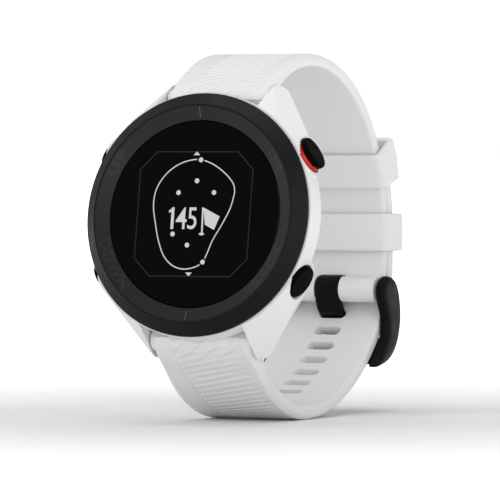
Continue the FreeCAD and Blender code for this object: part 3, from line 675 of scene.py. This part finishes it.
def make_straps():
    upper = strap_body("upper_strap_moulding", UPPER, UPPER_PANEL, UPPER_BAR, 0.0)
    end = buckle_bar_centre()
    combine(upper, bead("tool", end, ROLL_R, STRAP_HALF - 0.3), "UNION")
    notch = PRONG_HALF + 0.15
    combine(upper, lathe_x("tool", [(-notch, PRONG_EYE_R + 0.2), (notch, PRONG_EYE_R + 0.2)], end, 48),
            "DIFFERENCE")
    combine(upper, bore(end, BUCKLE_BORE_R), "DIFFERENCE")
    add_lug_end(upper, UPPER_BAR, UPPER["heading"] - 90)
    settle(upper, SILICONE, "upper_strap", ["strap_upper"], 32.0)
    lower = strap_body("lower_strap_moulding", LOWER, LOWER_PANEL, LOWER_BAR, TAIL_TIP)
    combine(lower, many_slots(LOWER), "DIFFERENCE")
    add_lug_end(lower, LOWER_BAR, LOWER["heading"] + 90)
    settle(lower, SILICONE, "lower_strap", ["strap_lower"], 32.0)


# ---------------------------------------------------------------- keepers
KEEPER_WALL = 1.25
KEEPER_GAP = 0.25
KEEPER_HALF = 3.5
FIXED_KEEPER_Z = -4.1
FREE_KEEPER_ANGLE = 21.9             # degrees round the crown arc
FREE_KEEPER_SPAN = 12.8


def rounded_loop(half_x, low, high, radius, corner_steps=7, side_steps=9):
    """Points (x, height, outward x, outward height) round a rounded rectangle."""
    corners = [(half_x - radius, high - radius, 0), (-half_x + radius, high - radius, 90),
               (-half_x + radius, low + radius, 180), (half_x - radius, low + radius, 270)]
    loop = []
    for cx, cn, start in corners:
        for k in range(corner_steps + 1):
            a = math.radians(start + 90 * k / corner_steps)
            loop.append((cx + radius * math.cos(a), cn + radius * math.sin(a), math.cos(a), math.sin(a)))
    full = []
    for i, point in enumerate(loop):
        full.append(point)
        if i % (corner_steps + 1) == corner_steps:
            after = loop[(i + 1) % len(loop)]
            for k in range(1, side_steps):
                f = k / side_steps
                full.append(tuple(p + (q - p) * f for p, q in zip(point, after)))
    return full


def wall_profile():
    """Section of a keeper's wall: (outward, along) points, softly crowned outside."""
    w, h = KEEPER_WALL, KEEPER_HALF
    outer = [(w - 0.42, h), (w - 0.16, h - 0.06), (w - 0.04, h - 0.2), (w, h - 0.5)]
    crown = [(w + 0.05 * (1 - (t / 3.0) ** 2), t) for t in (2.0, 1.0, 0.0, -1.0, -2.0)]
    inner = [(0.25, -h), (0.08, -h + 0.07), (0.0, -h + 0.25), (0.0, 0.0), (0.0, h - 0.25),
             (0.08, h - 0.07), (0.25, h)]
    return outer + crown + [(o, -t) for o, t in reversed(outer)] + inner


def keeper(name, place, body, replaced):
    """Moulded loop; place maps (x, height above the strap's inner face, distance along) to the row."""
    half = STRAP_HALF + KEEPER_GAP
    loop = rounded_loop(half, -KEEPER_GAP, 2 * STRAP_T + TAIL_GAP + KEEPER_GAP, 0.22)
    profile = wall_profile()
    verts = []
    for x, n, dx, dn in loop:
        for out, along in profile:
            verts.append(place(x + dx * out, n + dn * out, along))
    made = make_object(name, verts, tube_faces(len(loop), len(profile), closed=True))
    settle(made, SILICONE, body, [replaced], 50.0)


def make_keepers():
    end_y, end_z, end_angle = on_path({**UPPER, "runs": UPPER["runs"][:2]}, PATH_END)
    centre = (end_y + CROWN_R * math.sin(end_angle), end_z - CROWN_R * math.cos(end_angle))

    def on_crown(x, n, along):
        angle = math.radians(FREE_KEEPER_ANGLE + along / KEEPER_HALF * FREE_KEEPER_SPAN / 2)
        r = CROWN_R + n
        return on_band(x, centre[0] + r * math.cos(angle), centre[1] + r * math.sin(angle))

    def on_straight(x, n, along):
        return on_band(x, end_y + n, FIXED_KEEPER_Z + along)

    keeper("free_keeper_moulding", on_crown, "free_keeper", "keeper_upper")
    keeper("fixed_keeper_moulding", on_straight, "upper_strap", "keeper_lower")


# ---------------------------------------------------------------- buckle
# points are (y, z) in the standing frame
ARM_OUTLINE = [(57.5, -12.2), (60.1, -13.0), (61.8, -15.2), (62.6, -19.0), (62.1, -22.5), (60.5, -25.5),
               (57.8, -27.6), (54.5, -28.6), (51.4, -28.8), (52.9, -27.0), (55.2, -24.5), (56.35, -22.2),
               (56.1, -19.6), (54.9, -17.2), (54.2, -14.6), (55.4, -12.9)]
ARM_SPINE = [(57.2, -15.0), (58.9, -17.8), (59.4, -21.0), (58.8, -24.0), (56.8, -26.1), (53.8, -27.8)]
BAR_OUTLINE = [(57.4, -24.2), (58.4, -23.8), (59.4, -23.8), (60.6, -24.7), (59.4, -26.1), (57.6, -27.2),
               (54.4, -28.2), (52.8, -28.3), (54.9, -26.4)]
PRONG_BLADE = [(54.45, -16.0), (54.85, -17.25), (55.5, -18.5), (56.35, -19.35), (57.4, -19.95),
               (58.3, -20.6), (58.9, -21.3), (58.98, -22.3), (58.85, -23.6), (58.68, -24.8),
               (58.88, -25.05), (59.85, -25.08), (60.1, -24.9), (60.38, -23.5), (60.42, -22.3),
               (60.25, -21.3), (59.7, -20.45), (58.85, -19.7), (58.0, -18.9), (57.4, -18.0),
               (57.05, -17.2)]


def closed_curve(points, steps=6):
    """Smooth closed curve through (y, z) points."""
    count = len(points)
    made = []
    for i in range(count):
        p0, p1, p2, p3 = (np.array(points[(i + k - 1) % count]) for k in range(4))
        for j in range(steps):
            t = j / steps
            made.append(0.5 * (2 * p1 + (p2 - p0) * t + (2 * p0 - 5 * p1 + 4 * p2 - p3) * t * t
                               + (3 * p1 - p0 - 3 * p2 + p3) * t ** 3))
    return made


def nearest_on(spine, point):
    """(distance, nearest point) of a point to a run of straight lines."""
    best = None
    for a, b in zip(spine[:-1], spine[1:]):
        a, b = np.array(a), np.array(b)
        t = float(np.clip(np.dot(point - a, b - a) / np.dot(b - a, b - a), 0, 1))
        near = a + (b - a) * t
        gap = float(np.linalg.norm(point - near))
        if best is None or gap < best[0]:
            best = (gap, near)
    return best


def side_loft(name, outline, rings, spine=None):
    """Plate across X from rings of (x, inset); the inset runs towards a spine, or along the normals."""
    count = len(outline)
    moves = []
    for i, point in enumerate(outline):
        if spine:
            gap, near = nearest_on(spine, point)
            moves.append((near - point) / max(gap, 1e-6))
        else:
            along = outline[(i + 1) % count] - outline[i - 1]
            along = along / max(float(np.linalg.norm(along)), 1e-9)
            moves.append(np.array([-along[1], along[0]]))
    area = sum(p[0] * q[1] - q[0] * p[1] for p, q in zip(outline, outline[1:] + outline[:1]))
    way = 1.0 if spine or area > 0 else -1.0
    verts = []
    for x, inset in rings:
        for point, move in zip(outline, moves):
            limit = 0.8 * nearest_on(spine, point)[0] if spine else inset
            y, z = point + move * way * min(inset, limit)
            verts.append(on_band(x, y, z))
    return make_object(name, verts, tube_faces(len(rings), count))


def make_frame():
    outline = closed_curve(ARM_OUTLINE)
    crown = [(10.15, 0.45), (10.19, 0.22), (10.35, 0.05), (10.6, 0.0), (11.15, 0.0), (11.45, 0.10),
             (11.68, 0.30), (11.84, 0.60), (11.94, 1.0), (11.99, 1.5), (12.0, 1.9)]
    made = side_loft("buckle_frame_moulding", outline, crown, ARM_SPINE)
    other = side_loft("tool", outline, [(-x, inset) for x, inset in crown], ARM_SPINE)
    bar = side_loft("tool", closed_curve(BAR_OUTLINE, 4), [(-10.7, 0.0), (10.7, 0.0)])
    combine(made, other, "UNION")
    combine(made, bar, "UNION")
    combine(made, box_tool((-2.6, 2.6), (58.35, 63.0), (-28.0, -22.5)), "DIFFERENCE")
    settle(made, BLACK_SATIN, "buckle", ["buckle_frame"], 45.0)


def arc_points(centre, radius, start, sweep, steps):
    """Points round part of a circle, with the angles in degrees."""
    angles = [math.radians(start + sweep * k / (steps - 1)) for k in range(steps)]
    return [np.array((centre[0] + radius * math.cos(a), centre[1] + radius * math.sin(a))) for a in angles]


def make_prong():
    bar = buckle_bar_centre()
    outline = arc_points(bar, PRONG_EYE_FLAT_R, -75, 150, 8) + arc_points(bar, PRONG_EYE_R, 83, 103, 16)
    outline += [np.array(point) for point in PRONG_BLADE]
    half = PRONG_HALF
    rings = [(-half, 0.30), (-half + 0.06, 0.12), (-half + 0.2, 0.03), (-half + 0.45, 0.0),
             (half - 0.45, 0.0), (half - 0.2, 0.03), (half - 0.06, 0.12), (half, 0.30)]
    made = side_loft("buckle_prong_moulding", outline, rings)
    combine(made, bore(bar, BUCKLE_BORE_R), "DIFFERENCE")
    settle(made, BLACK_SATIN, "prong", ["buckle_prong"], 45.0)


# ---------------------------------------------------------------- display and dial labels
SCREEN_Y = -0.01              # the picture lies on the lens's front face, as in a bonded display
SCREEN_X = -0.16              # the screen sits a little left of the lens's centre
SCREEN_HALF = 11.27
SCREEN_CUT = 3.2              # the octagon's corners
INK_Y = SCREEN_Y - 0.02
BORDER_Y = SCREEN_Y - 0.01
INK_LINE = 0.21
FIGURE_SIZE = 5.4
COURSE_DOTS = [(0.6, 9.67), (0.1, 5.93), (-3.4, 3.8), (3.6, 3.85), (-4.0, -3.6), (-1.0, -5.55), (2.3, -8.55)]
DOT_R = 0.44
GREEN = [(-0.2, 9.74), (2.7, 9.05), (5.25, 7.5), (7.05, 5.75), (7.6, 4.4), (7.5, 3.0), (6.9, 0.8),
         (5.5, -2.0), (4.0, -4.6), (3.0, -7.15), (2.3, -8.5), (0.95, -9.4), (-1.33, -9.83),
         (-3.55, -9.25), (-5.4, -7.6), (-6.65, -5.0), (-7.5, -2.0), (-8.2, 1.6), (-7.75, 4.6),
         (-6.0, 7.2), (-3.4, 9.0)]
DIGIT_ONE = [(-4.52, -2.71), (-3.96, -2.71), (-3.96, 1.17), (-4.38, 1.17), (-4.62, 0.85), (-5.02, 0.62),
             (-5.02, 0.2), (-4.52, 0.36)]
DIGITS = (("4", -3.56, -1.41), ("5", -1.24, 0.55))
DIGIT_Z = (-2.71, 1.17)
ARROWS = [[(-0.97, 10.5), (0.37, 10.5), (-0.3, 11.15)], [(-0.97, -10.43), (-0.3, -11.1), (0.37, -10.43)]]
FLAG_POLE = [(1.48, 1.17), (1.80, 1.17), (1.93, -3.6), (1.61, -3.6)]
FLAG_CLOTH = [(1.75, 1.17), (5.06, -0.41), (4.1, -2.82), (2.25, -1.9)]
LABEL_R = 18.05
LABEL_SIZE = 2.35
LABEL_LINE = 0.030
# text, degrees round the bezel, width in millimetres, and whether its top points outwards
LABELS = (("UP", 150.0, 4.6, True), ("OK", 31.4, 4.3, True),
          ("DOWN", 211.0, 10.2, False), ("BACK", -31.0, 8.6, False))


def display_piece(name, points, y, faces, finish):
    """Thin flat figure facing the dial's front, from (x, z) points."""
    made = make_object(name, [on_watch(px, y, pz) for px, pz in points], faces)
    made.data.materials.append(finish)
    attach(made, "head")


def flat_piece(name, loops, y, finish):
    """Filled loops of (x, z) points."""
    points, faces = [], []
    for loop in loops:
        faces.append(tuple(range(len(points), len(points) + len(loop))))
        points += loop
    display_piece(name, points, y, faces, finish)


def octagon(half, cut):
    k = half - cut
    corners = [(-k, half), (k, half), (half, k), (half, -k), (k, -half), (-k, -half), (-half, -k), (-half, k)]
    return [(SCREEN_X + px, pz) for px, pz in corners]


def strip_piece(name, left, right, y, finish):
    """Flat ribbon between two runs of the same number of (x, z) points."""
    count = len(left)
    faces = [(j, j + 1, count + j + 1, count + j) for j in range(count - 1)]
    display_piece(name, left + right, y, faces, finish)


def disc_loop(x, z, r, around=28):
    return [(x + r * math.cos(2 * math.pi * k / around), z + r * math.sin(2 * math.pi * k / around))
            for k in range(around)]


def text_mesh(body, outline, size):
    """Mesh of the built-in font's letters; outline gives fine tubes along the letters' edges."""
    curve = bpy.data.curves.new("letters", "FONT")
    curve.body = body
    curve.size = size
    curve.align_x = "CENTER"
    curve.align_y = "CENTER"
    curve.resolution_u = 6
    if outline:
        curve.fill_mode = "NONE"
        curve.bevel_depth = outline
        curve.bevel_resolution = 0
        curve.space_character = 1.12
    else:
        curve.offset = 0.003 * size
    thing = bpy.data.objects.new("letters", curve)
    bpy.context.scene.collection.objects.link(thing)
    graph = bpy.context.evaluated_depsgraph_get()
    graph.update()
    mesh = bpy.data.meshes.new_from_object(thing.evaluated_get(graph))
    bpy.data.objects.remove(thing)
    return mesh


def place_text(name, mesh, place, finish):
    """Make a piece of a letters' mesh, with its points moved by place."""
    for vertex in mesh.vertices:
        vertex.co = place(*vertex.co)
    mesh.materials.clear()
    mesh.materials.append(finish)
    made = bpy.data.objects.new(name, mesh)
    bpy.context.scene.collection.objects.link(made)
    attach(made, "head")


def green_runs():
    """The green's outline as open runs, broken either side of the two dots that lie on it."""
    curve = [tuple(p) for p in closed_curve(GREEN, 8)]
    clear = [min(math.hypot(px - dx, pz - dz) for dx, dz in (COURSE_DOTS[0], COURSE_DOTS[6])) > DOT_R + 0.16
             for px, pz in curve]
    start = clear.index(False)
    runs = [[]]
    for k in range(len(curve)):
        at = (start + k) % len(curve)
        if clear[at]:
            runs[-1].append(curve[at])
        elif runs[-1]:
            runs.append([])
    return [run for run in runs if len(run) > 1]


def line_sides(run, width):
    """Left and right sides of a line of even width along a run of points."""
    left, right = [], []
    for k, (px, pz) in enumerate(run):
        ax, az = run[max(k - 1, 0)]
        bx, bz = run[min(k + 1, len(run) - 1)]
        length = math.hypot(bx - ax, bz - az)
        nx, nz = -(bz - az) / length * width / 2, (bx - ax) / length * width / 2
        left.append((px + nx, pz + nz))
        right.append((px - nx, pz - nz))
    return left, right


def make_yardage():
    """The distance's figures, each stretched to its own box."""
    flat_piece("yardage_1", [DIGIT_ONE], INK_Y, INK)
    for figure, low, high in DIGITS:
        mesh = text_mesh(figure, 0.0, FIGURE_SIZE)
        us = [v.co.x for v in mesh.vertices]
        vs = [v.co.y for v in mesh.vertices]

        def place(u, v, _):
            along = (u - min(us)) / (max(us) - min(us))
            up = (v - min(vs)) / (max(vs) - min(vs))
            return on_watch(low + (high - low) * along, INK_Y,
                            DIGIT_Z[0] + (DIGIT_Z[1] - DIGIT_Z[0]) * up)

        place_text("yardage_" + figure, mesh, place, INK)


def make_display():
    flat_piece("display_stack", [octagon(SCREEN_HALF, SCREEN_CUT)], SCREEN_Y, SCREEN)
    outer = octagon(SCREEN_HALF - 0.05, SCREEN_CUT)
    inner = octagon(SCREEN_HALF - 0.27, SCREEN_CUT - 0.13)
    strip_piece("screen_border", outer + outer[:1], inner + inner[:1], BORDER_Y, BORDER)
    for number, run in enumerate(green_runs()):
        strip_piece("green_outline_%d" % (number + 1), *line_sides(run, INK_LINE), INK_Y, INK)
    flat_piece("course_dots", [disc_loop(px, pz, DOT_R) for px, pz in COURSE_DOTS], INK_Y, INK)
    flat_piece("scroll_arrows", ARROWS, INK_Y, INK)
    foot = [(1.71 + 0.54 * math.cos(a), -3.55 + 0.24 * math.sin(a))
            for a in [2 * math.pi * k / 20 for k in range(20)]]
    flat_piece("flag", [FLAG_POLE, FLAG_CLOTH, foot], INK_Y, INK)
    make_yardage()


def bezel_slope(r):
    """Depth of the bezel's inner ring at a radius."""
    return -0.96 * (r - 16.8) / 2.25


def make_labels():
    """Raised outlines of the button functions on the bezel's inner ring."""
    for body, middle, width, upright in LABELS:
        mesh = text_mesh(body, LABEL_LINE, LABEL_SIZE)
        us = [v.co.x for v in mesh.vertices]
        stretch = width / (max(us) - min(us))
        shift = (max(us) + min(us)) / 2

        def place(u, v, w):
            along = (u - shift) * stretch / LABEL_R
            r = LABEL_R + (v if upright else -v)
            angle = math.radians(middle) + (-along if upright else along)
            return on_watch(r * math.cos(angle), bezel_slope(r) - w * 0.8, r * math.sin(angle))

        place_text("label_" + body.lower(), mesh, place, LABEL)


def make_marks():
    """Raised ticks at 12 and 6 o'clock on the bezel's inner ring."""
    section = ((-0.09, 0.0), (-0.05, 0.06), (0.05, 0.06), (0.09, 0.0))
    for name, angle in (("mark_12", 90.0), ("mark_6", -90.0)):
        a = math.radians(angle)
        verts = []
        for r in (17.25, 19.0):
            for side, lift in section:
                x = r * math.cos(a) - side * math.sin(a)
                z = r * math.sin(a) + side * math.cos(a)
                verts.append(on_watch(x, bezel_slope(r) - lift, z))
        settle(make_object(name, verts, tube_faces(2, 4)), LABEL, "head")


place_camera()
set_stage()
finish_cad_nodes()
make_straps()
make_keepers()
make_frame()
make_prong()
make_display()
make_labels()
make_marks()
